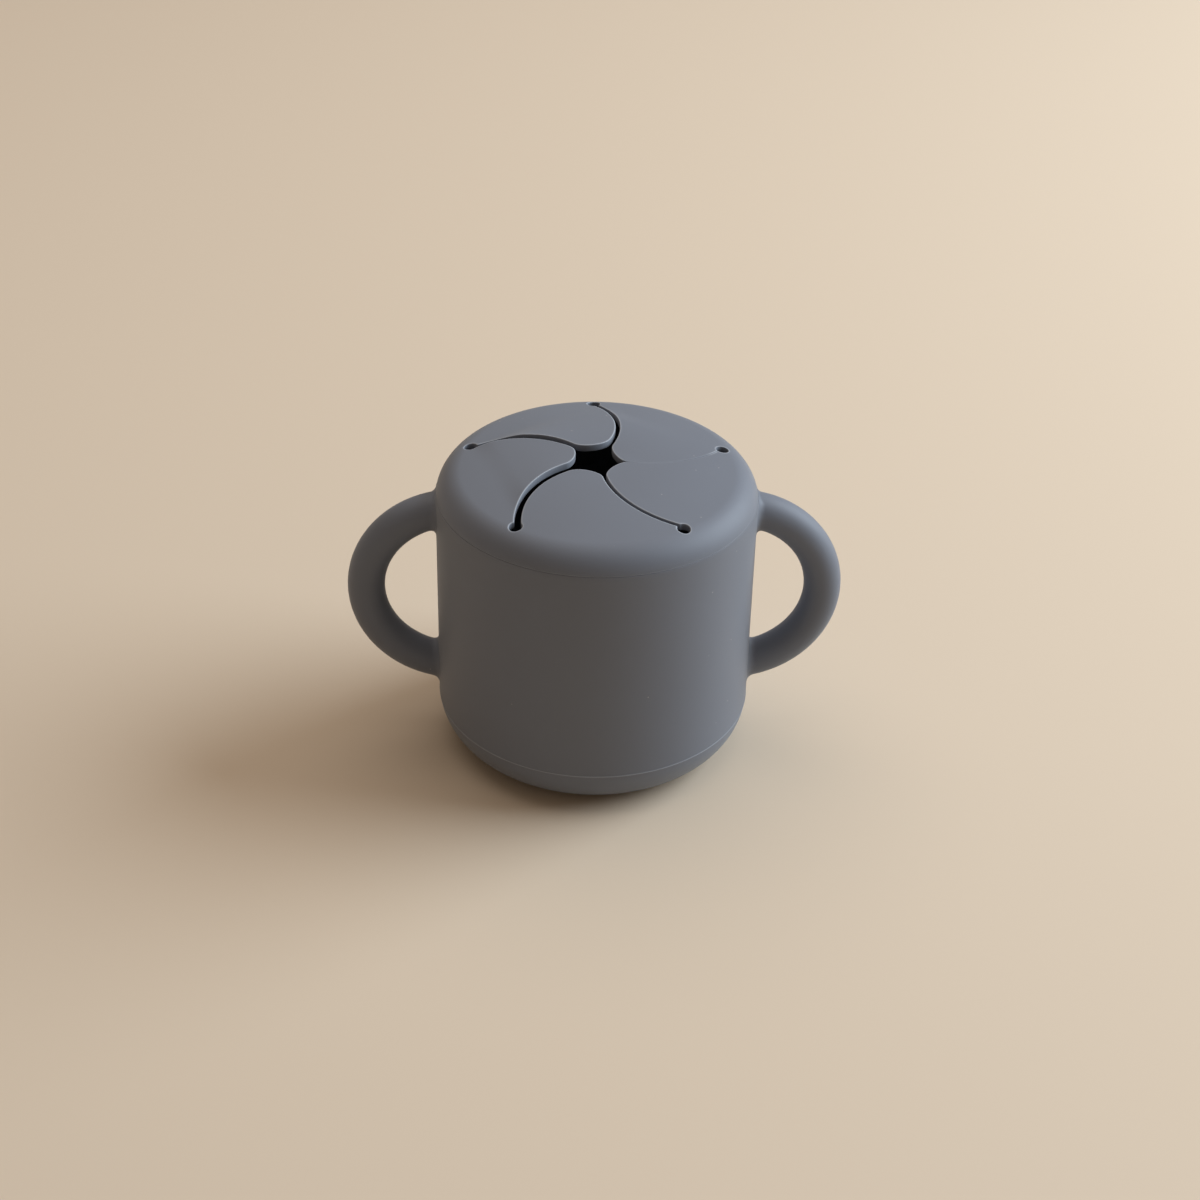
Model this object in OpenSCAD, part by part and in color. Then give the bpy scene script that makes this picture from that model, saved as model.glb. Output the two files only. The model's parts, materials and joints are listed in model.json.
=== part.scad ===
// Toddler snack cup: a moulded silicone cup with two ring handles, closed by a
// domed lid. Five soft flaps, cut by curved slits, let a small hand in and
// keep the snacks from falling out. Millimetres, Z up, handles along X.
// The origin is the middle of the underside.

/* [Cup] */
// Outer diameter of the cup and of the lid
cup_d = 85; // [74:0.5:110]
// Height of the seam between the cup and the lid
seam_h = 75.5; // [66:0.5:110]
// Thickness of the cup's wall
wall_t = 3.4; // [2.6:0.1:4]
// Thickness of the cup's floor
floor_t = 3.6; // [2.4:0.1:6]
// Radius of the rounded edge round the base
base_r = 14; // [8:0.5:20]
// Width of the bevel at the mouth, which leads the lid's plug in
mouth_bevel = 0.8; // [0.4:0.1:1.2]

/* [Handles] */
// Thickness of the round handle bar
bar_d = 10; // [8:0.1:12]
// Radius of the handle's ring, to the middle of the bar
ring_r = 24.4; // [20:0.2:26]
// How far the handle stands out from the wall
handle_reach = 24.1; // [19:0.1:30]
// Height from the top of the handle up to the seam
handle_drop = 0.5; // [0.4:0.1:6]
// Radius of the soft corner where the bar meets the wall
root_r = 2; // [1:0.1:3]

/* [Lid] */
// Radius of the lid's rounded shoulder
shoulder_r = 8; // [6:0.5:10]
// How far below the seam the shoulder's rounding starts
shoulder_drop = 1.5; // [0.5:0.1:3]
// Radius of the gently domed top
dome_r = 195; // [120:5:400]
// Thickness of the domed top and of its flaps
skin_t = 2; // [1.4:0.1:2.6]
// Thickness of the plug that sits in the cup's mouth
plug_t = 1.7; // [1.2:0.1:2.2]
// Depth of the plug below the seam
plug_depth = 8; // [6:0.5:14]
// Number of sealing ribs round the plug
seal_count = 2; // [1:1:3]
// Distance from one sealing rib to the next
seal_pitch = 2.6; // [2:0.1:3.5]
// Height of each sealing rib along the plug
seal_w = 0.9; // [0.6:0.1:1.4]
// Width of the fine groove that the seam draws round the outside
seam_w = 0.7; // [0.3:0.1:1.2]

/* [Flaps] */
// Distance from the outer wall to the middle of the holes at the slits' ends
hole_inset = 7.3; // [7.2:0.1:10]
// Diameter of the round hole that ends each slit
hole_d = 3; // [2:0.1:3.1]
// Width of a slit
slit_w = 0.9; // [0.6:0.1:1.4]
// How far each slit bows to one side between its two ends
slit_bow = 4.3; // [3:0.1:5.5]
// Radius at which the slits run out into the middle opening
star_r = 7.5; // [6.5:0.1:9]
// Angle by which each slit has turned where it reaches the middle
slit_turn = 25; // [18:1:32]
// Diameter of the middle opening between the flaps' tips
opening_d = 10.4; // [8:0.2:13]
// Radius of each tip's blunt corner
tip_blunt_r = 4; // [2:0.1:5]
// Radius of each tip's tight corner
tip_tight_r = 1.5; // [0.8:0.1:2.5]

/* [Fits] */
// Gap round the plug, behind its sealing ribs
plug_gap = 0.5; // [0.4:0.05:0.8]
// Gap between a sealing rib and the cup's mouth
seal_gap = 0.15; // [0.1:0.05:0.3]
// Gap along the bend at the root of each flap
bend_gap = 0.2; // [0.15:0.05:0.4]

/* [Hidden] */
$fn = 96;
silicone = "#6f727a";
silicone_lit = "#7d8088";

// Cup and lid share one outer skin, parted at the seam.
cup_r = cup_d / 2;
mouth_r = cup_r - wall_t;
shoulder_h = seam_h - shoulder_drop;
shoulder_x = cup_r - shoulder_r;
dome_h = shoulder_h - sqrt(pow(dome_r - shoulder_r, 2) - pow(shoulder_x, 2));
top_h = dome_h + dome_r;
// Where the dome runs into the shoulder
crest_r = shoulder_x * dome_r / (dome_r - shoulder_r);
seam_r = shoulder_x + sqrt(pow(shoulder_r, 2) - pow(shoulder_drop, 2));
plug_r = mouth_r - plug_gap;
rim_r = plug_r - plug_t;
plug_end_r = plug_t / 3;
spare = 1;

// Slits: five alike, the first one's hole at the front left.
flap_count = 5;
flap_step = 360 / flap_count;
first_hole = -90 - flap_step / 2;
hole_ring_r = cup_r - hole_inset;
opening_r = opening_d / 2;
// A slit in its own frame, with its hole on +X, is an arc that bows to -Y.
slit_end = [star_r * cos(slit_turn), -star_r * sin(slit_turn)];
slit_start = [hole_ring_r, 0];
slit_chord = norm(slit_start - slit_end);
slit_r = (pow(slit_chord / 2, 2) + pow(slit_bow, 2)) / (2 * slit_bow);
slit_across = [slit_start[1] - slit_end[1], slit_end[0] - slit_start[0]] / slit_chord;
slit_mid = (slit_start + slit_end) / 2 - slit_across * (slit_r - slit_bow);
edge_in_r = slit_r - slit_w / 2;
edge_out_r = slit_r + slit_w / 2;
next_slit_mid = turned(slit_mid, flap_step);

// Each flap bends about the straight line between its two holes.
bend_x = hole_ring_r * cos(flap_step / 2);
bend_y = hole_ring_r * sin(flap_step / 2);
bend_sag = (skin_top(bend_x) - skin_top(hole_ring_r)) / 2;
bend_h = skin_top(bend_x) - bend_sag - skin_t / 2;
bend_r = skin_t / 2 + bend_sag + bend_gap / 2;

// Handle ring: its middle, and where its centre line runs into the wall.
ring_x = cup_r + handle_reach - bar_d / 2 - ring_r;
ring_h = seam_h - handle_drop - bar_d / 2 - ring_r;
root_rise = sqrt(pow(ring_r, 2) - pow(cup_r + root_r / 2 - ring_x, 2));
root_bite = 0.15;
root_flare = bar_d / 2 - root_bite + root_r;
// The wall curves away from the corner's sides, so it is sunk by half of that.
root_sink = (cup_r - sqrt(pow(cup_r, 2) - pow(root_flare, 2))) / 2;
root_top_h = seam_h - seam_w / 2;

function turned(point, angle) =
    [point[0] * cos(angle) - point[1] * sin(angle),
     point[0] * sin(angle) + point[1] * cos(angle)];

// Height of the domed top's outer face at a radius
function skin_top(radius) = dome_h + sqrt(pow(dome_r, 2) - pow(radius, 2));

// The point at the given distances from two centres, on the left of first to second
function meet(first, first_r, second, second_r) =
    let (gap = second - first,
         apart = norm(gap),
         along = (pow(apart, 2) + pow(first_r, 2) - pow(second_r, 2)) / (2 * apart),
         aside = sqrt(pow(first_r, 2) - pow(along, 2)),
         way = gap / apart)
    first + way * along + [-way[1], way[0]] * aside;

// Half outline of the whole closed container: base, wall, shoulder and dome
module skin_outline() {
    square([cup_r - base_r, seam_h]);
    translate([cup_r - base_r, base_r]) circle(base_r);
    translate([0, base_r]) square([cup_r, shoulder_h - base_r]);
    translate([shoulder_x, shoulder_h]) circle(shoulder_r);
    intersection() {
        translate([0, dome_h]) circle(dome_r);
        translate([0, shoulder_h]) square([crest_r, top_h]);
    }
}

// Everything on one side of the seam, as a half outline
module above_seam() {
    translate([0, seam_h]) square([cup_r + spare, top_h - seam_h + spare]);
}

module below_seam() {
    square([cup_r + spare, seam_h]);
}

// Section of the fine groove that the two rounded edges leave at the seam
module seam_groove() {
    translate([seam_r, seam_h]) rotate(45) square(seam_w / sqrt(2), center = true);
}

// Inside of the cup, with a rounded corner and a bevelled mouth
module cavity_outline() {
    corner_r = base_r - wall_t;
    translate([0, floor_t]) square([mouth_r - corner_r, seam_h]);
    translate([0, floor_t + corner_r]) square([mouth_r, seam_h]);
    translate([mouth_r - corner_r, floor_t + corner_r]) circle(corner_r);
    polygon([[0, seam_h - mouth_bevel], [mouth_r, seam_h - mouth_bevel],
             [mouth_r + mouth_bevel, seam_h], [0, seam_h]]);
}

module cup_body() {
    color(silicone) rotate_extrude() difference() {
        intersection() {
            skin_outline();
            below_seam();
        }
        cavity_outline();
        seam_groove();
    }
}

// Soft corner round the bar where it meets the wall, square to the wall. Its
// slim end lies a little inside the bar.
module root_corner() {
    rotate_extrude() difference() {
        translate([0, -root_r]) square([root_flare, 2 * root_r]);
        translate([root_flare, root_r]) circle(root_r);
    }
}

// One handle, on +X: a round bar bent to a ring that runs into the wall twice
module handle() {
    difference() {
        union() {
            translate([ring_x, 0, ring_h]) rotate([90, 0, 0])
                rotate_extrude() translate([ring_r, 0]) circle(d = bar_d);
            for (side = [-1, 1])
                translate([cup_r - root_sink, 0, ring_h + side * root_rise])
                    rotate([0, 90, 0]) root_corner();
        }
        cylinder(r = cup_r, h = top_h);
        translate([0, -cup_r, root_top_h]) cube([cup_d, cup_d, top_h]);
    }
}

module handle_right() {
    color(silicone) handle();
}

module handle_left() {
    color(silicone) mirror([1, 0, 0]) handle();
}

// The domed skin by itself, out to the plug
module dome_skin() {
    rotate_extrude() intersection() {
        difference() {
            translate([0, dome_h]) circle(dome_r);
            translate([0, dome_h]) circle(dome_r - skin_t);
        }
        square([crest_r, top_h + spare]);
    }
}

// Half outline of the lid: solid shoulder, domed skin, and plug with its ribs
module lid_outline() {
    difference() {
        intersection() {
            skin_outline();
            above_seam();
        }
        intersection() {
            translate([0, dome_h]) circle(dome_r - skin_t);
            square([rim_r, top_h]);
        }
        seam_groove();
    }
    translate([rim_r, seam_h - plug_depth + plug_end_r])
        square([plug_t, plug_depth]);
    translate([rim_r + plug_end_r, seam_h - plug_depth])
        square([plug_t - 2 * plug_end_r, plug_depth]);
    for (corner_x = [rim_r + plug_end_r, plug_r - plug_end_r])
        translate([corner_x, seam_h - plug_depth + plug_end_r]) circle(plug_end_r);
    for (rib = [1 : seal_count])
        translate([rim_r + plug_end_r, seam_h - plug_depth + rib * seal_pitch - seal_w / 2])
            square([mouth_r - seal_gap - rim_r - plug_end_r, seal_w]);
}

// The straight bend line of the flap on +X, as a rod of the given radius
module bend_rod(radius) {
    translate([bend_x, 0, bend_h]) rotate([90, 0, 0])
        cylinder(r = radius, h = 2 * bend_y, center = true);
}

// Column through the lid at a slit's end
module end_hole() {
    translate([hole_ring_r, 0, seam_h - plug_depth])
        cylinder(d = hole_d, h = top_h);
}

module lid_ring() {
    color(silicone_lit) difference() {
        rotate_extrude() lid_outline();
        rotate(first_hole) translate([0, 0, seam_h - plug_depth])
            linear_extrude(top_h)
                polygon([for (k = [0 : flap_count - 1])
                         turned([hole_ring_r, 0], k * flap_step)]);
        for (k = [0 : flap_count - 1]) rotate(first_hole + k * flap_step) {
            end_hole();
            rotate(flap_step / 2) bend_rod(bend_r + bend_gap);
        }
    }
}

// What a tip loses at a corner, beyond an arc about the given centre. The
// corner lies between the edge round the opening and the slit about slit_at.
module corner_cut(corner, centre, radius, slit_at) {
    on_slit = centre + (slit_at - centre) * radius / norm(slit_at - centre)
        * (norm(slit_at - centre) > edge_in_r ? 1 : -1);
    on_opening = centre * (1 - radius / norm(centre));
    difference() {
        polygon([centre, on_slit, centre + (corner - centre) * 1.1, on_opening]);
        translate(centre) circle(radius);
    }
}

// Outline of the flap between the first slit and the next one
module flap_outline() {
    tight_corner = meet([0, 0], opening_r, slit_mid, edge_in_r);
    tight_centre = meet([0, 0], opening_r + tip_tight_r, slit_mid, edge_in_r - tip_tight_r);
    blunt_corner = meet([0, 0], opening_r, next_slit_mid, edge_out_r);
    blunt_centre = meet([0, 0], opening_r + tip_blunt_r,
                        next_slit_mid, edge_out_r + tip_blunt_r);
    difference() {
        intersection() {
            translate(slit_mid) circle(edge_in_r);
            rotate(flap_step / 2) translate([0, -cup_r])
                square([bend_x + bend_r, cup_d]);
        }
        translate(next_slit_mid) circle(edge_out_r);
        circle(opening_r);
        for (angle = [0, flap_step]) rotate(angle) translate([hole_ring_r, 0]) circle(d = hole_d);
        corner_cut(tight_corner, tight_centre, tip_tight_r, slit_mid);
        corner_cut(blunt_corner, blunt_centre, tip_blunt_r, next_slit_mid);
    }
}

// One flap: a leaf of the domed skin with a round root that turns in the lid
module flap(index) {
    color(silicone_lit) rotate(first_hole + index * flap_step) intersection() {
        dome_skin();
        translate([0, 0, seam_h]) linear_extrude(top_h) flap_outline();
        rotate(flap_step / 2) union() {
            translate([0, -cup_r, 0]) cube([bend_x, cup_d, 2 * top_h]);
            bend_rod(bend_r);
        }
    }
}

module flap_front() { flap(0); }
module flap_right() { flap(1); }
module flap_back_right() { flap(2); }
module flap_back_left() { flap(3); }
module flap_left() { flap(4); }

cup_body();
handle_left();
handle_right();
lid_ring();
flap_front();
flap_right();
flap_back_right();
flap_back_left();
flap_left();
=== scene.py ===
"""Toddler snack cup: the looks of the moulded silicone cup, its handles and its lid."""

import json
import math

import bmesh
import bpy
import numpy as np
from bpy.props import FloatProperty, FloatVectorProperty, PointerProperty
from mathutils import Matrix, Vector
from mathutils.geometry import delaunay_2d_cdt


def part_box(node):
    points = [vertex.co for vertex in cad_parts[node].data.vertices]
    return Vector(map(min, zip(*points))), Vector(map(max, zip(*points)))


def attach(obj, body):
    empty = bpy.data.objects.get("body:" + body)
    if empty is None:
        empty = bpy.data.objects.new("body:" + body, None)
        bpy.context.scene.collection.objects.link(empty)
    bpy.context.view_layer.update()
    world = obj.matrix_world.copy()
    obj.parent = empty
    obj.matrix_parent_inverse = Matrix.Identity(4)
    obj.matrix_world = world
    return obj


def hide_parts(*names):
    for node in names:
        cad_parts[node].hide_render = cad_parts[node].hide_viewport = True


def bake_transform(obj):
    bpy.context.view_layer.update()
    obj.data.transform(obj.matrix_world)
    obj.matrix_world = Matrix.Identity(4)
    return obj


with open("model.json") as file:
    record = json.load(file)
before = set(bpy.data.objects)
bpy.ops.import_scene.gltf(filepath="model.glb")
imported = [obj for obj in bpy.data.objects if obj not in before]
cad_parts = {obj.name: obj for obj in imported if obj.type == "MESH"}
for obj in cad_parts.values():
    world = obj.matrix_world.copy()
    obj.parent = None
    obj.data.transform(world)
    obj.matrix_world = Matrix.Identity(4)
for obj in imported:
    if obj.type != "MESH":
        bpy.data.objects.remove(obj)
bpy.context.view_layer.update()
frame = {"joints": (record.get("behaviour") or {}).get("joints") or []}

bl_info = {
    "name": "Toddler Snack Cup",
    "version": (1, 0, 0),
    "blender": (4, 5, 0),
    "location": "View3D > Sidebar > Snack Cup",
    "description": "Models a silicone snack cup with ring handles and a lid of soft flaps",
    "category": "Add Mesh",
}

MM = 0.001
SHARP_ANGLE = math.radians(42)
MERGE_DISTANCE = 0.002 * MM
# Name of the point attribute that carries the painted highlight along cuts, seam and mould line
HIGHLIGHT_ATTRIBUTE = "painted_highlight"
CUP_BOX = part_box("cup_body")
HANDLE_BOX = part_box("handle_right")
BEND_JOINTS = [j for j in frame["joints"] if j["type"] == "hinge"]
FLAP_COUNT = len(BEND_JOINTS)
FLAP_STEP = math.tau / FLAP_COUNT
FIRST_HOLE = -math.pi / 2 - FLAP_STEP / 2
FLAP_BEND_RADIUS = Vector(BEND_JOINTS[0]["pos_m"][:2]).length

# Steps of the spun cup and lid, and of the handles' grid round the bar, along it and in each root
CUP_STEPS = 256
RING_STEPS = 360
BAR_SIDES, BAR_ROWS, ROOT_ROWS = 56, 110, 12

# Small sizes of the handles: how far the ring stands below the seam, how close the upper root
# comes to it, the least width of a root's corner, and how deep a root's end is sunk in the wall
HANDLE_DROP = 0.5 * MM
ROOT_TOP_GAP = 0.1 * MM
ROOT_LEAST = 0.15 * MM
ROOT_DEPTH = 0.8 * MM

# Mould line near the top of the rounded base: how far below the wall it starts and ends, and the
# share of its height that each slope takes
LINE_START, LINE_END = 1.1 * MM, 0.7 * MM
LINE_SLOPE = 0.1

# Sealing ribs on the plug: how many, their pitch, half their foot, and their gap to the cup
RIB_COUNT = 2
RIB_PITCH = 2.6 * MM
RIB_HALF_FOOT = 0.5 * MM
RIB_GAP = 0.15 * MM

# Radius of the circle on the shoulder where the flaps' pieces meet the lid's ring
JOIN_RADIUS = 38.4 * MM
# Angle by which each slit turns between its hole and the middle opening
SLIT_TURN = math.radians(25)

# The flaps, from the front one counter-clockwise seen from above. Use has bent the soft lid, so
# each flap has its own trim: how far its two side edges stand back from the middle line of the
# slit (mm), where its tip starts to round on either side and how full it is (mm from the middle,
# mm of handle), and how far its tip and its two side edges stand above the dome (mm).
FLAPS = {
    "front": {"gaps": (0.65, 0.46), "tip": (9.5, 3.6, 8.5, 2.6), "lifts": (-0.5, 0.0, 0.0)},
    "right": {"gaps": (0.46, 0.08), "tip": (8.2, 2.6, 7.8, 2.2), "lifts": (-0.35, 0.0, 0.0)},
    "back_right": {"gaps": (0.08, 0.5), "tip": (7.6, 2.0, 8.8, 2.8), "lifts": (-0.35, 0.0, 0.6)},
    "back_left": {"gaps": (0.65, 0.6), "tip": (10.5, 4.4, 9.5, 3.4), "lifts": (0.65, 0.1, 1.15)},
    "left": {"gaps": (0.6, 1.05), "tip": (9.0, 3.0, 9.0, 3.0), "lifts": (0.5, 0.6, 0.6)},
}
# How far use and the soft material have moved each slit-end hole sideways and back (mm), from the
# hole on the left of the front flap counter-clockwise
HOLE_SHIFTS = ((-0.75, 0.0), (0.1, -0.8), (0.0, -0.8), (0.0, 0.3), (0.1, 0.9))
# A slit side set back by less than this (mm) touches its neighbour. Its soft edge is this share of
# the others', and gets as wide as they are over this length.
TOUCHING_GAP = 0.1
TOUCHING_EDGE = 0.3
TOUCHING_FADE = 2 * MM

# Points of a flap's sheet: spacing of the honeycomb and of the rows on the shoulder, the radius
# where those rows start, the rows beside the free edge with the slack that one row may come closer
# to it, and steps along holes and slits
CELL = 1.0 * MM
COMB_RISE = 0.866
ROW = 0.3 * MM
SHOULDER_START = 33.8 * MM
EDGE_ROWS = [row * MM for row in (0.03, 0.08, 0.15, 0.25, 0.4, 0.75)]
EDGE_SLACK = 0.006 * MM
HOLE_STEP, SLIT_STEP = 0.16 * MM, 0.5 * MM

# A flap's tip, as a distance from the middle. A side edge's bow grows from the root over the
# first share of the way there, fades over the last, and reaches this far in from the edge.
TIP_RADIUS = 6 * MM
BOW_GROWTH, BOW_FADE, BOW_END = 0.3, 0.75, 1.15
BOW_REACH = 8 * MM

# Shares of painted highlight, a paler colour: on the mould line, at the seam and along the cuts,
# where it is strongest a little inside the edge and faint along a side that has stayed closed
HIGHLIGHT_LINE, HIGHLIGHT_SEAM, HIGHLIGHT_CUT, HIGHLIGHT_CLOSED = 0.25, 0.15, 0.5, 0.15
HIGHLIGHT_INSET, HIGHLIGHT_WIDTH = 0.18 * MM, 0.13 * MM
HIGHLIGHT_HOLE_NEAR, HIGHLIGHT_HOLE_FAR = 3 * MM, 7 * MM

# Viewing angle and distance of the photograph, about a point on the cup's axis.
IMAGE_PX = 1200
FOCAL_PX = 2272
SENSOR_WIDTH = 36
AIM_HEIGHT = 40 * MM
CAMERA_DISTANCE = 617.5 * MM
CAMERA_ELEVATION = math.radians(33.64)
CAMERA_AZIMUTH = math.radians(-2.36)
CAMERA_YAW = math.radians(-0.134)
CAMERA_PITCH = math.radians(0.064)
CAMERA_ROLL = math.radians(-1.246)

# Floor and the room's even light
FLOOR_RADIUS = 12.0
ROOM_COLOUR = "#ffe7cf"
ROOM_STRENGTH = 0.225


def linear(hex_colour):
    """Linear RGBA of an sRGB hex colour such as '#74777f'."""
    channels = [int(hex_colour[i:i + 2], 16) / 255 for i in (1, 3, 5)]
    red, green, blue = (c / 12.92 if c <= 0.04045 else ((c + 0.055) / 1.055) ** 2.4
                        for c in channels)
    return red, green, blue, 1.0


def length(name, description, default):
    return FloatProperty(name=name, description=description, default=default, min=0.0,
                         unit="LENGTH")


class SnackCupSizes(bpy.types.PropertyGroup):
    """Sizes of the cup, its handles and its lid"""

    cup_radius: length("Cup radius", "Outer radius of the cup and the lid", CUP_BOX[1][1])
    seam_height: length("Seam height", "Height of the seam between cup and lid", CUP_BOX[1][2])
    wall: length("Wall", "Thickness of the cup's wall", 3.4 * MM)
    floor: length("Floor", "Thickness of the cup's floor", 3.6 * MM)
    base_radius: length("Base rounding", "Radius of the rounded edge round the base", 14 * MM)
    mouth_bevel: length("Mouth bevel", "Width of the bevel at the mouth", 0.8 * MM)
    seam_round: length("Seam edge", "Radius of the two soft edges at the seam", 0.16 * MM)
    parting_line: length("Parting line", "Height of the fine mould line round the base", 0.09 * MM)
    shoulder_radius: length("Shoulder radius", "Radius of the lid's rounded shoulder", 8 * MM)
    shoulder_drop: length("Shoulder drop", "How far below the seam the shoulder starts", 1.5 * MM)
    dome_radius: length("Dome radius", "Radius of the domed top", 195 * MM)
    skin: length("Skin", "Thickness of the domed top and its flaps", 2 * MM)
    plug_wall: length("Plug wall", "Thickness of the plug below the lid", 1.7 * MM)
    plug_depth: length("Plug depth", "Depth of the plug below the seam", 8 * MM)
    plug_gap: length("Plug gap", "Gap round the plug", 0.5 * MM)
    bar_radius: length("Bar radius", "Radius of the round handle bar", 5 * MM)
    ring_radius: length("Ring radius", "Radius of the handle to the middle of its bar", 24.4 * MM)
    root_radius: length("Root corner", "Radius of the soft corner where bar meets wall", 2.2 * MM)
    hole_radius: length("Hole radius", "Radius of the hole that ends each slit", 1.7 * MM)
    slit_bow: length("Slit bow", "How far each slit bows to one side", 4.3 * MM)
    star_radius: length("Star radius", "Radius where the slits reach the middle", 7.5 * MM)
    cut_edge: length("Cut edge", "Radius of the soft edge along slits and holes", 0.28 * MM)


class SnackCupColours(bpy.types.PropertyGroup):
    """Colours of the silicone and of the stage"""

    silicone: FloatVectorProperty(
        name="Silicone", description="Slate blue-grey of the moulded silicone",
        subtype="COLOR", size=4, min=0.0, max=1.0, default=linear("#6c727e"))
    dust: FloatVectorProperty(
        name="Dust", description="Pale lint that the soft surface picks up",
        subtype="COLOR", size=4, min=0.0, max=1.0, default=linear("#b9b6b2"))
    # Pale colour painted along cuts, the seam and the mould line as a highlight
    painted_highlight: FloatVectorProperty(
        name="Painted edge highlight", description="Paler grey painted along edges as a highlight",
        subtype="COLOR", size=4, min=0.0, max=1.0, default=linear("#c3cbd6"))
    backdrop: FloatVectorProperty(
        name="Backdrop", description="Plain pale floor",
        subtype="COLOR", size=4, min=0.0, max=1.0, default=linear("#d5c5b1"))


def sizes():
    return bpy.context.scene.snack_cup_sizes


def colours():
    return bpy.context.scene.snack_cup_colours


# Outlines, in metres, as points (distance from the axis, height)

def arc(centre, radius, start, end, steps):
    """Points on an arc, angles in degrees from +X."""
    angles = [math.radians(start + (end - start) * k / steps) for k in range(steps + 1)]
    return [(centre[0] + radius * math.cos(a), centre[1] + radius * math.sin(a)) for a in angles]


def straight(start, end, steps):
    """Points between two points, ends left out."""
    return [(start[0] + (end[0] - start[0]) * k / steps, start[1] + (end[1] - start[1]) * k / steps)
            for k in range(1, steps)]


def shoulder_centre():
    s = sizes()
    return s.cup_radius - s.shoulder_radius, s.seam_height - s.shoulder_drop


def dome_centre_height():
    s = sizes()
    x, height = shoulder_centre()
    return height - math.sqrt((s.dome_radius - s.shoulder_radius) ** 2 - x ** 2)


def crest_radius():
    """Radius at which the dome runs into the shoulder."""
    s = sizes()
    return shoulder_centre()[0] * s.dome_radius / (s.dome_radius - s.shoulder_radius)


def skin_height(radius, inset=0.0):
    """Height of the lid's outer face, or of one inset below it, at a radius (array or number)."""
    s = sizes()
    x, height = shoulder_centre()
    radius = np.asarray(radius, float)
    dome = dome_centre_height() + np.sqrt((s.dome_radius - inset) ** 2 - radius ** 2)
    across = np.clip((s.shoulder_radius - inset) ** 2 - (radius - x) ** 2, 0, None)
    return np.where(radius < crest_radius(), dome, height + np.sqrt(across))


# Meshes

def add_object(name, bm, material):
    bmesh.ops.recalc_face_normals(bm, faces=bm.faces)
    for face in bm.faces:
        face.smooth = True
    for edge in bm.edges:
        edge.smooth = len(edge.link_faces) != 2 or edge.calc_face_angle() < SHARP_ANGLE
    mesh = bpy.data.meshes.new(name)
    bm.to_mesh(mesh)
    bm.free()
    mesh.materials.append(material)
    piece = bpy.data.objects.new(name, mesh)
    bpy.context.scene.collection.objects.link(piece)
    return piece


def spun(outline, steps, closed=False):
    """A bmesh turned round Z from an outline in the XZ plane."""
    bm = bmesh.new()
    points = [bm.verts.new((x, 0, z)) for x, z in outline]
    pairs = list(zip(points, points[1:])) + ([(points[-1], points[0])] if closed else [])
    edges = [bm.edges.new(pair) for pair in pairs]
    bmesh.ops.spin(bm, geom=points + edges, cent=(0, 0, 0), axis=(0, 0, 1), dvec=(0, 0, 0),
                   angle=math.tau, steps=steps, use_merge=True, use_normal_flip=False,
                   use_duplicate=False)
    bmesh.ops.remove_doubles(bm, verts=bm.verts, dist=MERGE_DISTANCE)
    return bm


def paint_highlight(bm, shares):
    """Give each point, in order, its share of painted highlight, a paler colour."""
    layer = bm.verts.layers.float.new(HIGHLIGHT_ATTRIBUTE)
    for vert, share in zip(bm.verts, shares):
        vert[layer] = share


# Materials

def add_node(tree, kind, settings=None, **links):
    """One node, with its settings by attribute or socket, and links into its sockets."""
    node = tree.nodes.new(kind)
    for key, value in (settings or {}).items():
        if hasattr(node, key):
            setattr(node, key, value)
        else:
            node.inputs[key].default_value = value
    for socket, source in links.items():
        tree.links.new(source, node.inputs[socket.replace("_", " ")])
    return node


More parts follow.
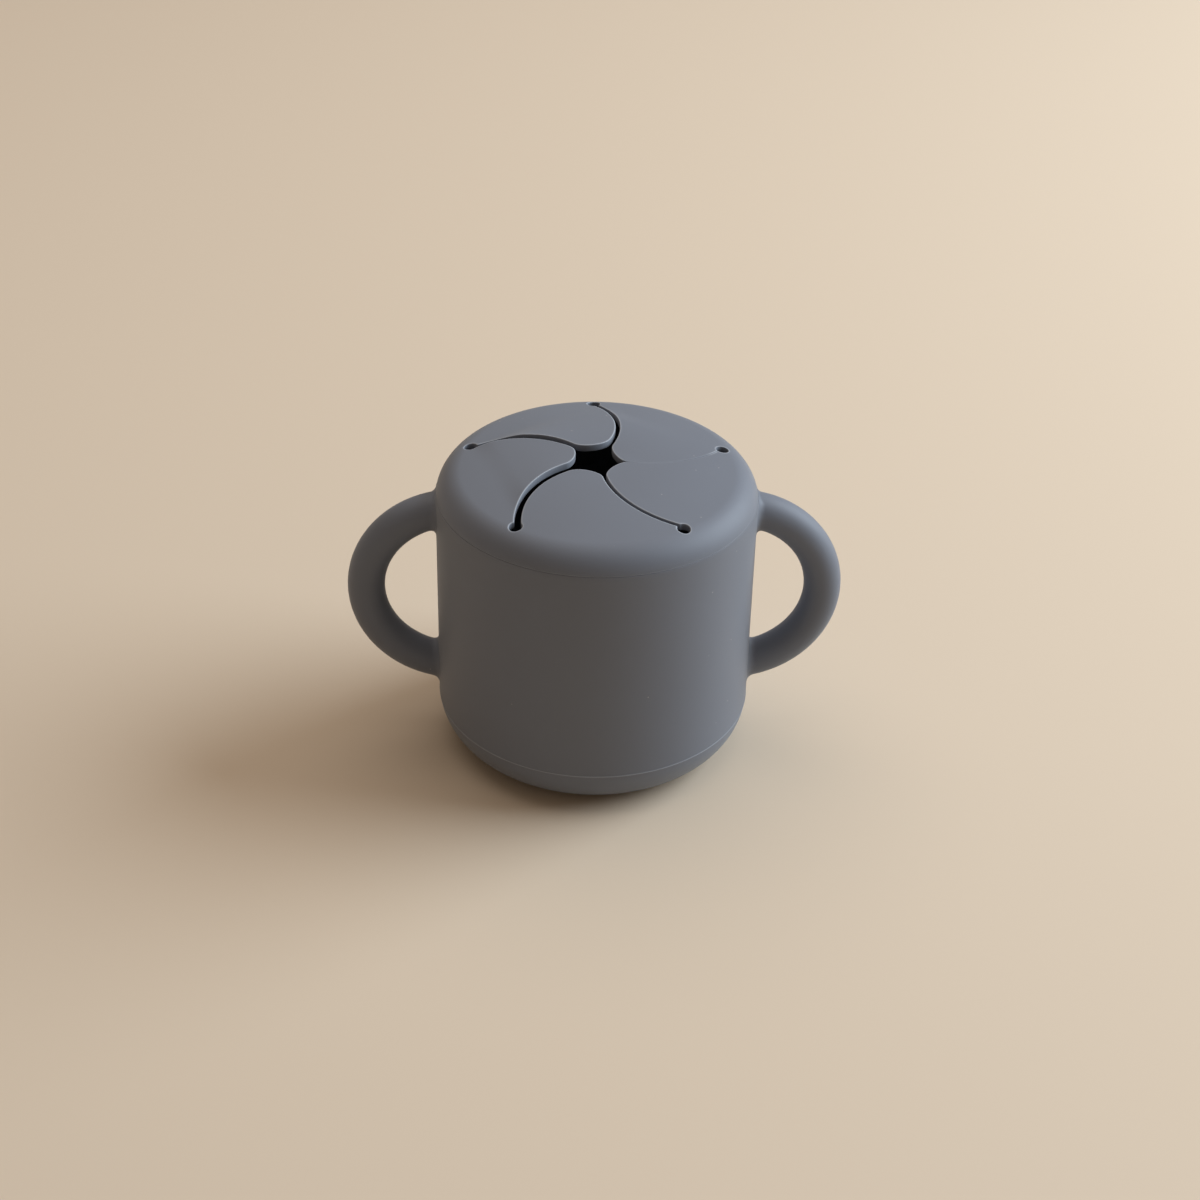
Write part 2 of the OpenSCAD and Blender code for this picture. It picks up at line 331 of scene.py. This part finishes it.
def moulded_silicone(name):
    """Moulded platinum silicone: matte from a bead-blasted mould, with a soft bloom of light at a
    glance, a barely cloudy colour, a fine grain, and pale lint that clings to it."""
    cloud_size, lint_cell, grain_size = 25 * MM, 3.2 * MM, 0.25 * MM
    lint_cells, lint_strength = 0.9, 0.45
    material = bpy.data.materials.new(name)
    material.use_nodes = True
    tree = material.node_tree
    shader = tree.nodes["Principled BSDF"]
    place = add_node(tree, "ShaderNodeTexCoord").outputs["Object"]
    # Clouding some 25 mm across, as uneven blooming of the rubber gives.
    cloud = add_node(tree, "ShaderNodeTexNoise", {"Scale": 1 / cloud_size, "Detail": 2.0},
                     Vector=place)
    tone = add_node(tree, "ShaderNodeMapRange", {"To Min": 0.965, "To Max": 1.035},
                    Value=cloud.outputs["Fac"])
    base = add_node(tree, "ShaderNodeVectorMath", {"operation": "SCALE"},
                    Scale=tone.outputs["Result"])
    base.inputs[0].default_value = colours().silicone[:3]
    # Lint: specks about 0.4 mm across in one in ten of the 3.2 mm cells.
    cells = add_node(tree, "ShaderNodeTexVoronoi", {"Scale": 1 / lint_cell, "Randomness": 1.0},
                     Vector=place)
    speck = add_node(tree, "ShaderNodeMapRange",
                     {"From Min": 0.045, "From Max": 0.075, "To Min": 1.0, "To Max": 0.0},
                     Value=cells.outputs["Distance"])
    chosen = add_node(tree, "ShaderNodeSeparateColor", Color=cells.outputs["Color"])
    few = add_node(tree, "ShaderNodeMath", {"operation": "GREATER_THAN"})
    tree.links.new(chosen.outputs["Red"], few.inputs[0])
    few.inputs[1].default_value = lint_cells
    lint = add_node(tree, "ShaderNodeMath", {"operation": "MULTIPLY"})
    tree.links.new(speck.outputs["Result"], lint.inputs[0])
    tree.links.new(few.outputs[0], lint.inputs[1])
    lint_share = add_node(tree, "ShaderNodeMath", {"operation": "MULTIPLY"})
    tree.links.new(lint.outputs[0], lint_share.inputs[0])
    lint_share.inputs[1].default_value = lint_strength
    mix = add_node(tree, "ShaderNodeMix", {"data_type": "RGBA"})
    tree.links.new(lint_share.outputs[0], mix.inputs[0])
    tree.links.new(base.outputs[0], mix.inputs[6])
    mix.inputs[7].default_value = colours().dust
    # Painted highlight: paler where the pieces' own attribute paints it, along the cuts, the seam
    # and the mould line.
    painted_highlight = add_node(tree, "ShaderNodeAttribute", {"attribute_name": HIGHLIGHT_ATTRIBUTE}).outputs["Fac"]
    paler = add_node(tree, "ShaderNodeMix", {"data_type": "RGBA"})
    tree.links.new(painted_highlight, paler.inputs[0])
    tree.links.new(mix.outputs[2], paler.inputs[6])
    paler.inputs[7].default_value = colours().painted_highlight
    tree.links.new(paler.outputs[2], shader.inputs["Base Color"])
    # Mould grain of about 0.25 mm, drawn a little coarse so that it shows.
    grain = add_node(tree, "ShaderNodeTexNoise", {"Scale": 1 / grain_size, "Detail": 3.0},
                     Vector=place)
    bump = add_node(tree, "ShaderNodeBump", {"Strength": 0.12, "Distance": 0.02 * MM},
                    Height=grain.outputs["Fac"])
    tree.links.new(bump.outputs[0], shader.inputs["Normal"])
    patch = add_node(tree, "ShaderNodeMapRange", {"To Min": 0.5, "To Max": 0.6},
                     Value=cloud.outputs["Fac"])
    tree.links.new(patch.outputs[0], shader.inputs["Roughness"])
    shader.inputs["IOR"].default_value = 1.43
    shader.inputs["Sheen Weight"].default_value = 0.12
    shader.inputs["Sheen Roughness"].default_value = 0.5
    return material


def silicone():
    """The one material of the whole cup."""
    name = "moulded_silicone"
    return bpy.data.materials.get(name) or moulded_silicone(name)


def finish_piece(piece, body, slot, *nodes):
    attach(piece, body)
    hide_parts(*nodes)


def cup_outline():
    """Closed half section of the cup: underside, base, wall, rim, inside."""
    s = sizes()
    r, base, seam = s.cup_radius, s.base_radius, s.seam_height
    edge = s.seam_round
    inner = r - s.wall
    corner = base - s.wall
    x, height = shoulder_centre()
    top_angle = math.degrees(math.asin((s.shoulder_drop - edge) / s.shoulder_radius))
    points = [(0, 0)] + straight((0, 0), (r - base, 0), 6)
    # Rounded base, with the fine mould line on it.
    middle = (r - base, base)
    below, above = (math.degrees(-math.asin(drop / base)) for drop in (LINE_START, LINE_END))
    foot, crest = below + (above - below) * LINE_SLOPE, above + (below - above) * LINE_SLOPE
    points += arc(middle, base, -90, below - 1, 35)
    points += arc(middle, base, below, below, 1)[:1]
    points += arc(middle, base + s.parting_line, foot, crest, 2)
    points += arc(middle, base, above, 0, 3)
    points += straight((r, base), (r, height), 14)
    points += arc((x, height), s.shoulder_radius, 0, top_angle, 4)
    rim_x = points[-1][0]
    points += arc((rim_x - edge, seam - edge), edge, 8, 90, 6)
    points += straight((rim_x - edge, seam), (inner + s.mouth_bevel, seam), 3)
    points += [(inner + s.mouth_bevel, seam), (inner, seam - s.mouth_bevel)]
    points += straight((inner, seam - s.mouth_bevel), (inner, s.floor + corner), 12)
    points += arc((inner - corner, s.floor + corner), corner, 0, -90, 24)
    points += straight((inner - corner, s.floor), (0, s.floor), 6) + [(0, s.floor)]
    return points


class SNACKCUP_OT_cup(bpy.types.Operator):
    """Turn the cup from its half section"""

    bl_idname = "snackcup.cup"
    bl_label = "Cup"

    def execute(self, context):
        s = sizes()
        bm = spun(cup_outline(), CUP_STEPS)
        middle = Vector((s.cup_radius - s.base_radius, s.base_radius))
        raised = s.base_radius + s.parting_line / 2
        offsets = [Vector((v.co.xy.length, v.co.z)) - middle for v in bm.verts]
        # Painted highlight: a paler line along the raised mould line
        paint_highlight(bm, [HIGHLIGHT_LINE * (way.x > 0 and way.y < 0 and way.length > raised)
                 for way in offsets])
        piece = add_object("cup_shell", bm, silicone())
        finish_piece(piece, "cup", "cup_silicone", "cup_body")
        return {"FINISHED"}


def handle_mesh():
    """A tube grid spun round the ring's axis, then each end's last rows drawn out onto the wall."""
    s = sizes()
    ring, bar = s.ring_radius, s.bar_radius
    centre = (HANDLE_BOX[1][0] - ring - bar, s.seam_height - HANDLE_DROP - bar - ring)
    bm = bmesh.new()
    turns = [math.tau * k / BAR_SIDES for k in range(BAR_SIDES)]
    section = [bm.verts.new((0, bar * math.sin(turn), ring + bar * math.cos(turn)))
               for turn in turns]
    loop = [bm.edges.new(pair) for pair in zip(section, section[1:] + section[:1])]
    bmesh.ops.spin(bm, geom=section + loop, cent=(0, 0, 0), axis=(0, 1, 0), dvec=(0, 0, 0),
                   angle=math.pi, steps=BAR_ROWS, use_merge=False, use_normal_flip=False,
                   use_duplicate=False)
    for vert in bm.verts:
        x, y, z = vert.co
        turn = math.atan2(y, math.hypot(x, z) - ring)
        cosine = max(-1.0, min(1.0, z / math.hypot(x, z)))
        row = round(math.acos(cosine) / math.pi * BAR_ROWS)
        vert.co = handle_point(turn, row, centre)
    return bm


def handle_point(turn, row, centre):
    """Where the grid point at a turn round the bar and a row along it lies, for a ring whose
    middle is at centre (x, z)."""
    s = sizes()
    ring_x, ring_h = centre
    wall_r = s.cup_radius
    upper = row * 2 < BAR_ROWS
    side = 1 if upper else -1
    step = row if upper else BAR_ROWS - row
    arm = s.ring_radius + s.bar_radius * math.cos(turn)
    y = s.bar_radius * math.sin(turn)
    wall_x = math.sqrt(wall_r ** 2 - y ** 2)
    meet_angle = math.acos((wall_x - ring_x) / arm)

    def on_bar(angle):
        return Vector((ring_x + arm * math.cos(angle), y, ring_h + side * arm * math.sin(angle)))

    # The wall's line along which the corner runs, away from where the bar meets the wall.
    crossing = on_bar(meet_angle)
    outward = Vector((math.cos(turn) * math.cos(meet_angle), math.sin(turn),
                      side * math.cos(turn) * math.sin(meet_angle)))
    normal = Vector((wall_x, y, 0)).normalized()
    along = (outward - normal * outward.dot(normal)).normalized()
    flare = s.root_radius
    if upper and along.z > 0:
        # Less room below the seam: the corner gets smaller there.
        top_limit = s.seam_height - s.seam_round - ROOT_TOP_GAP
        room = (top_limit - crossing.z) / max(along.z, 0.05)
        flare = min(flare, max(room, ROOT_LEAST))
    start_angle = meet_angle - flare / arm
    if step >= ROOT_ROWS:
        share = (step - ROOT_ROWS) / (BAR_ROWS / 2 - ROOT_ROWS)
        return on_bar(start_angle * (1 - share))
    foot = crossing + along * flare
    foot.x = math.sqrt(wall_r ** 2 - foot.y ** 2)
    if step == 0:
        return Vector((foot.x - ROOT_DEPTH, foot.y, foot.z))
    start = on_bar(start_angle)
    t = 1 - (step - 1) / (ROOT_ROWS - 1)
    return start * (1 - t) ** 2 + crossing * 2 * t * (1 - t) + foot * t ** 2


class SNACKCUP_OT_handles(bpy.types.Operator):
    """Bend both handles and flare their ends onto the wall"""

    bl_idname = "snackcup.handles"
    bl_label = "Handles"

    def execute(self, context):
        for name, mirrored in (("right", False), ("left", True)):
            bm = handle_mesh()
            open_edges = [edge for edge in bm.edges if edge.is_boundary]
            bmesh.ops.holes_fill(bm, edges=open_edges, sides=0)
            if mirrored:
                bmesh.ops.scale(bm, vec=(-1, 1, 1), verts=bm.verts)
            piece = add_object(f"handle_{name}_bar", bm, silicone())
            finish_piece(piece, "cup", "cup_silicone", f"handle_{name}")
        return {"FINISHED"}


def lid_outline():
    """Closed half section of the lid outside the join: shoulder, seam edge, land, ribbed plug."""
    s = sizes()
    x, height = shoulder_centre()
    seam, edge = s.seam_height, s.seam_round
    plug = s.cup_radius - s.wall - s.plug_gap
    inside = plug - s.plug_wall
    foot = seam - s.plug_depth
    start = math.degrees(math.acos((JOIN_RADIUS - x) / s.shoulder_radius))
    end = math.degrees(math.asin((s.shoulder_drop + edge) / s.shoulder_radius))
    # One short step beside the join, then even ones down to the seam.
    fine = start - 0.4
    points = arc((x, height), s.shoulder_radius, start, fine, 1)
    points += arc((x, height), s.shoulder_radius, fine, end, 36)[1:]
    rim_x = points[-1][0]
    points += arc((rim_x - edge, seam + edge), edge, 8, -90, 6)
    points += straight((rim_x - edge, seam), (plug, seam), 4) + [(plug, seam)]
    for rib in range(RIB_COUNT, 0, -1):
        rib_h = foot + rib * RIB_PITCH
        points += [(plug, rib_h + RIB_HALF_FOOT)]
        points += arc((plug, rib_h), s.plug_gap - RIB_GAP, 80, -80, 8)
        points += [(plug, rib_h - RIB_HALF_FOOT)]
    end_r = s.plug_wall / 3
    points += arc((plug - end_r, foot + end_r), end_r, 0, -90, 6)
    points += arc((inside + end_r, foot + end_r), end_r, -90, -180, 6)
    points += straight((inside, foot + end_r), (inside, float(skin_height(inside, s.skin))), 6)
    points += [(radius, float(skin_height(radius)) - s.skin) for radius in (inside, JOIN_RADIUS)]
    return points


class SNACKCUP_OT_lid(bpy.types.Operator):
    """Turn the lid's shoulder and its plug"""

    bl_idname = "snackcup.lid"
    bl_label = "Lid ring"

    def execute(self, context):
        s = sizes()
        bm = spun(lid_outline(), RING_STEPS, closed=True)
        top, inner = s.seam_height + 1.2 * s.seam_round, s.cup_radius - MM
        # Painted highlight: a paler line along the seam's soft edge
        paint_highlight(bm, [HIGHLIGHT_SEAM * (s.seam_height < v.co.z < top and v.co.xy.length > inner)
                 for v in bm.verts])
        piece = add_object("lid_shoulder", bm, silicone())
        finish_piece(piece, "lid", "lid_silicone", "lid_ring")
        return {"FINISHED"}


# Flaps, planned flat: 2D vectors in metres, seen from above

def polar(radius, angle):
    return Vector((radius * math.cos(angle), radius * math.sin(angle)))


def turned(point, angle):
    return Matrix.Rotation(angle, 2) @ point


def hole_ring_radius():
    return FLAP_BEND_RADIUS / math.cos(FLAP_STEP / 2)


def hole(index):
    """Middle of a slit-end hole, and where its edge crosses the line from the axis outward."""
    angle = FIRST_HOLE + index * FLAP_STEP
    middle = polar(hole_ring_radius(), angle) + Vector(HOLE_SHIFTS[index % FLAP_COUNT]) * MM
    aside = turned(middle, -angle)
    return middle, polar(aside.x + math.sqrt(sizes().hole_radius ** 2 - aside.y ** 2), angle)


def slit_circle(index):
    """Middle and radius of the circle that a slit follows."""
    s = sizes()
    start = Vector((hole_ring_radius(), 0))
    end = polar(s.star_radius, -SLIT_TURN)
    chord = (start - end).length
    radius = ((chord / 2) ** 2 + s.slit_bow ** 2) / (2 * s.slit_bow)
    across = Vector((start.y - end.y, end.x - start.x)) / chord
    middle = (start + end) / 2 - across * (radius - s.slit_bow)
    return turned(middle, FIRST_HOLE + index * FLAP_STEP), radius


def meet(first, first_r, second, second_r):
    """The point at given distances from two middles, left of the line from first to second."""
    gap = second - first
    apart = gap.length
    along = (apart ** 2 + first_r ** 2 - second_r ** 2) / (2 * apart)
    aside = math.sqrt(max(first_r ** 2 - along ** 2, 0))
    way = gap / apart
    return first + way * along + Vector((-way.y, way.x)) * aside


def round_arc(middle, start, end, clockwise, step):
    """Points from start to end round a middle, both ends included."""
    a0 = math.atan2(*(start - middle).yx)
    a1 = math.atan2(*(end - middle).yx)
    turn = (a0 - a1) % math.tau if clockwise else (a1 - a0) % math.tau
    radius = (start - middle).length
    count = max(2, math.ceil(turn * radius / step))
    sign = -1 if clockwise else 1
    return [middle + polar(radius, a0 + sign * turn * k / count) for k in range(count + 1)]


def rounded_tip(start, start_way, end, end_way, steps=28):
    """Points of a smooth curve that leaves start and reaches end along the given ways."""
    first, second = start + start_way, end + end_way
    return [start * (1 - t) ** 3 + first * 3 * t * (1 - t) ** 2
            + second * 3 * t ** 2 * (1 - t) + end * t ** 3
            for t in (k / steps for k in range(steps + 1))]


def flap_edges(index, flap):
    """The free edge of one flap in three parts: along its first side from the hole's outer end,
    round the tip, and along its second side to the next hole's outer end."""
    s = sizes()
    (hole_a, end_a), (hole_b, end_b) = hole(index), hole(index + 1)
    circle_a, radius = slit_circle(index)
    circle_b, _ = slit_circle(index + 1)
    inner_a = radius - flap["gaps"][0] * MM
    outer_b = radius + flap["gaps"][1] * MM
    leave_a = meet(hole_a, s.hole_radius, circle_a, inner_a)
    reach_b = meet(hole_b, s.hole_radius, circle_b, outer_b)
    from_a, full_a, from_b, full_b = (value * MM for value in flap["tip"])
    middle = Vector((0, 0))
    tip_a = meet(circle_a, inner_a, middle, from_a)
    tip_b = meet(circle_b, outer_b, middle, from_b)
    way_a, way_b = (tip_a - circle_a).normalized(), (tip_b - circle_b).normalized()
    way_a, way_b = Vector((way_a.y, -way_a.x)) * full_a, Vector((way_b.y, -way_b.x)) * full_b
    side_a = round_arc(hole_a, end_a, leave_a, False, HOLE_STEP)
    side_a += round_arc(circle_a, leave_a, tip_a, True, SLIT_STEP)[1:]
    side_b = round_arc(circle_b, tip_b, reach_b, False, SLIT_STEP)
    side_b += round_arc(hole_b, reach_b, end_b, False, HOLE_STEP)[1:]
    return side_a, rounded_tip(tip_a, way_a, tip_b, way_b)[1:-1], side_b


def smoothstep(share):
    share = np.clip(share, 0, 1)
    return share ** 2 * (3 - 2 * share)


def distance_to(points, path):
    """Distance of each point from an open path of segments."""
    path = np.array([point[:] for point in path])
    starts, ends = path[:-1], path[1:]
    along = ends - starts
    best = np.full(len(points), 1.0)
    for start, way in zip(starts, along):
        t = np.clip((points - start) @ way / (way @ way), 0, 1)
        best = np.minimum(best, np.linalg.norm(points - start - t[:, None] * way, axis=1))
    return best


def flap_sheet(index, flap):
    """The flap flat: rows of points beside its free edge, which carry the edge's rounding, a
    honeycomb of points behind them, and the triangles that join them."""
    here = FIRST_HOLE + index * FLAP_STEP
    side_a, tip, side_b = flap_edges(index, flap)
    free = side_a + tip + side_b
    count = RING_STEPS // FLAP_COUNT
    rim = [polar(JOIN_RADIUS, here + FLAP_STEP * (1 - k / count)) for k in range(count + 1)]
    joins = [[end + end.normalized() * row for row in EDGE_ROWS] for end in (side_b[-1], side_a[0])]
    outline = free + joins[0] + rim + joins[1][::-1]
    ways = [(after - before).normalized() for before, after in zip(free, free[2:])]
    points = []
    for row in EDGE_ROWS:
        beside = [point + Vector((way.y, -way.x)) * row for point, way in zip(free[1:-1], ways)]
        clear = distance_to(np.array([p[:] for p in beside]), free) > row - EDGE_SLACK
        points += [point for point, good in zip(beside, clear) if good]
    # Honeycomb over the dome, rows round the axis where the skin turns into the shoulder.
    reach = int(SHOULDER_START / CELL) + 1
    comb = [Vector(((i + j % 2 / 2) * CELL, j * CELL * COMB_RISE))
            for i in range(-reach, reach) for j in range(-reach, reach)]
    turns = [((math.atan2(p.y, p.x) - here) % math.tau, math.atan2(CELL / 2, p.length))
             for p in comb]
    inside = [p for p, (turn, margin) in zip(comb, turns)
              if p.length < SHOULDER_START - CELL / 2 and margin < turn < FLAP_STEP - margin]
    row_count = 1 + int((JOIN_RADIUS - SHOULDER_START) / ROW - 0.3)
    around = [polar(SHOULDER_START + ROW * row, here + FLAP_STEP * k / count)
              for row in range(row_count) for k in range(1, count)]
    for group, clearance in ((inside, CELL / 2), (around, ROW / 2)):
        behind = distance_to(np.array([p[:] for p in group]), free)
        points += [p for p, gap in zip(group, behind) if gap > EDGE_ROWS[-1] + clearance]
    corners = [(k, (k + 1) % len(outline)) for k in range(len(outline))]
    flat, _, triangles, *_ = delaunay_2d_cdt(outline + points, corners, [], 1, 1e-9)
    bm = bmesh.new()
    verts = [bm.verts.new((p.x, p.y, 0)) for p in flat]
    for triangle in triangles:
        bm.faces.new([verts[k] for k in triangle])
    return bm, free, side_a, side_b


def flap_bmesh(index, flap):
    """A leaf of the domed skin: its flat sheet thickened and laid on the dome."""
    s = sizes()
    bm, free, side_a, side_b = flap_sheet(index, flap)
    sheet = list(bm.faces)
    raised = bmesh.ops.extrude_face_region(bm, geom=sheet)
    top = {v for v in raised["geom"] if isinstance(v, bmesh.types.BMVert)}
    verts = list(bm.verts)
    flat = np.array([v.co[:2] for v in verts])
    away, away_a, away_b = (distance_to(flat, path) for path in (free, side_a, side_b))
    # Soft edge all round, finer where the flap touches its neighbour.
    edge = np.full(len(verts), s.cut_edge)
    for gap, side in zip(flap["gaps"], (away_a, away_b)):
        if gap < TOUCHING_GAP:
            edge *= TOUCHING_EDGE + (1 - TOUCHING_EDGE) * np.clip(side / TOUCHING_FADE, 0, 1)
    near = np.clip(edge - away, 0, edge)
    dip = edge - np.sqrt(edge ** 2 - near ** 2)
    # Lifted or sunk tip, and side edges that bow up between hole and tip.
    middle = np.array(polar(1.0, FIRST_HOLE + (index + 0.5) * FLAP_STEP)[:])
    along = np.clip((FLAP_BEND_RADIUS - flat @ middle) / (FLAP_BEND_RADIUS - TIP_RADIUS), 0, 1)
    bow = smoothstep(along / BOW_GROWTH) * smoothstep((BOW_END - along) / BOW_FADE)
    tip_lift, lift_a, lift_b = (value * MM for value in flap["lifts"])
    rise = tip_lift * along ** 2
    rise += bow * sum(lift * np.exp(-side / BOW_REACH)
                      for lift, side in ((lift_a, away_a), (lift_b, away_b)))
    outer = skin_height(np.linalg.norm(flat, axis=1)) + rise
    for k, vert in enumerate(verts):
        vert.co.z = outer[k] - dip[k] if vert in top else outer[k] - s.skin + dip[k]
    # Painted highlight along the cuts, and hardly any where a side has stayed closed,
    # away from the holes.
    highlight_share = HIGHLIGHT_CUT * np.exp(-((away - HIGHLIGHT_INSET) / HIGHLIGHT_WIDTH) ** 2)
    holes = [np.array(hole(k)[0][:]) for k in (index, index + 1)]
    from_hole = np.min([np.linalg.norm(flat - place, axis=1) for place in holes], axis=0)
    open_share = smoothstep((HIGHLIGHT_HOLE_FAR - from_hole) / (HIGHLIGHT_HOLE_FAR - HIGHLIGHT_HOLE_NEAR))
    for gap, side in zip(flap["gaps"], (away_a, away_b)):
        if gap < TOUCHING_GAP:
            closed = side < MM
            highlight_share[closed] *= HIGHLIGHT_CLOSED + (1 - HIGHLIGHT_CLOSED) * open_share[closed]
    paint_highlight(bm, highlight_share)
    return bm


class SNACKCUP_OT_flaps(bpy.types.Operator):
    """Cut the lid's soft flaps"""

    bl_idname = "snackcup.flaps"
    bl_label = "Flaps"

    def execute(self, context):
        for index, (name, flap) in enumerate(FLAPS.items()):
            piece = add_object(f"flap_{name}_leaf", flap_bmesh(index, flap), silicone())
            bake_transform(piece)
            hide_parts(f"flap_{name}")
        return {"FINISHED"}


# Stage

def add_light(name, energy, size, place, colour):
    lamp = bpy.data.lights.new(name, "AREA")
    lamp.energy = energy
    lamp.shape = "DISK"
    lamp.size = size
    lamp.color = linear(colour)[:3]
    light = bpy.data.objects.new(name, lamp)
    light.location = place
    aim = Vector((0, 0, AIM_HEIGHT)) - Vector(place)
    light.rotation_euler = aim.to_track_quat("-Z", "Y").to_euler()
    bpy.context.scene.collection.objects.link(light)


def add_floor():
    bm = bmesh.new()
    bmesh.ops.create_circle(bm, cap_ends=True, segments=96, radius=FLOOR_RADIUS)
    material = bpy.data.materials.new("painted_floor")
    material.use_nodes = True
    shader = material.node_tree.nodes["Principled BSDF"]
    shader.inputs["Base Color"].default_value = colours().backdrop
    shader.inputs["Roughness"].default_value = 0.8
    floor = add_object("floor", bm, material)


def add_camera():
    """Camera at the photograph's angle, with its small yaw, pitch and roll."""
    aim = Vector((0, 0, AIM_HEIGHT))
    away = Vector((0, -math.cos(CAMERA_ELEVATION), math.sin(CAMERA_ELEVATION)))
    turn = Matrix.Rotation(CAMERA_AZIMUTH, 3, "Z")
    forward = -away
    right = Vector((1, 0, 0))
    up = right.cross(forward)
    yaw = Matrix.Rotation(CAMERA_YAW, 3, up)
    forward, right = yaw @ forward, yaw @ right
    pitch = Matrix.Rotation(CAMERA_PITCH, 3, right)
    forward, up = pitch @ forward, pitch @ up
    roll = Matrix.Rotation(CAMERA_ROLL, 3, forward)
    right, up = roll @ right, roll @ up
    axes = turn @ Matrix((right, up, -forward)).transposed()
    data = bpy.data.cameras.new("camera")
    data.sensor_width = SENSOR_WIDTH
    data.lens = FOCAL_PX * SENSOR_WIDTH / IMAGE_PX
    camera = bpy.data.objects.new("camera", data)
    camera.matrix_world = Matrix.Translation(turn @ (aim + away * CAMERA_DISTANCE)) @ axes.to_4x4()
    bpy.context.scene.collection.objects.link(camera)
    bpy.context.scene.camera = camera


class SNACKCUP_OT_stage(bpy.types.Operator):
    """Add the pale floor, the soft lamps and the camera"""

    bl_idname = "snackcup.stage"
    bl_label = "Stage"

    def execute(self, context):
        scene = context.scene
        add_camera()
        add_floor()
        add_light("window", energy=36.0, size=1.4, place=(1.36, 0.3, 0.84), colour="#e8f5ff")
        add_light("ceiling", energy=11.0, size=2.0, place=(-0.15, 0.5, 1.6), colour="#fff3e6")
        world = bpy.data.worlds.new("room")
        scene.world = world
        world.use_nodes = True
        background = world.node_tree.nodes["Background"]
        background.inputs["Color"].default_value = linear(ROOM_COLOUR)
        background.inputs["Strength"].default_value = ROOM_STRENGTH
        scene.view_settings.view_transform = "Standard"
        return {"FINISHED"}


class SNACKCUP_PT_panel(bpy.types.Panel):
    """Lists the snack cup's pieces"""

    bl_idname = "SNACKCUP_PT_panel"
    bl_label = "Snack Cup"
    bl_space_type = "VIEW_3D"
    bl_region_type = "UI"
    bl_category = "Snack Cup"

    def draw(self, context):
        for operator in OPERATORS:
            self.layout.operator(operator.bl_idname)
        for group in (context.scene.snack_cup_sizes, context.scene.snack_cup_colours):
            for name in group.__annotations__:
                self.layout.prop(group, name)


OPERATORS = (SNACKCUP_OT_stage, SNACKCUP_OT_cup, SNACKCUP_OT_handles, SNACKCUP_OT_lid,
             SNACKCUP_OT_flaps)
CLASSES = (SnackCupSizes, SnackCupColours) + OPERATORS + (SNACKCUP_PT_panel,)


def register():
    for cls in CLASSES:
        bpy.utils.register_class(cls)
    bpy.types.Scene.snack_cup_sizes = PointerProperty(type=SnackCupSizes)
    bpy.types.Scene.snack_cup_colours = PointerProperty(type=SnackCupColours)


def unregister():
    del bpy.types.Scene.snack_cup_colours
    del bpy.types.Scene.snack_cup_sizes
    for cls in reversed(CLASSES):
        bpy.utils.unregister_class(cls)


def main():
    register()
    bpy.ops.snackcup.stage()
    bpy.ops.snackcup.cup()
    bpy.ops.snackcup.handles()
    bpy.ops.snackcup.lid()
    bpy.ops.snackcup.flaps()


if __name__ == "__main__":
    main()
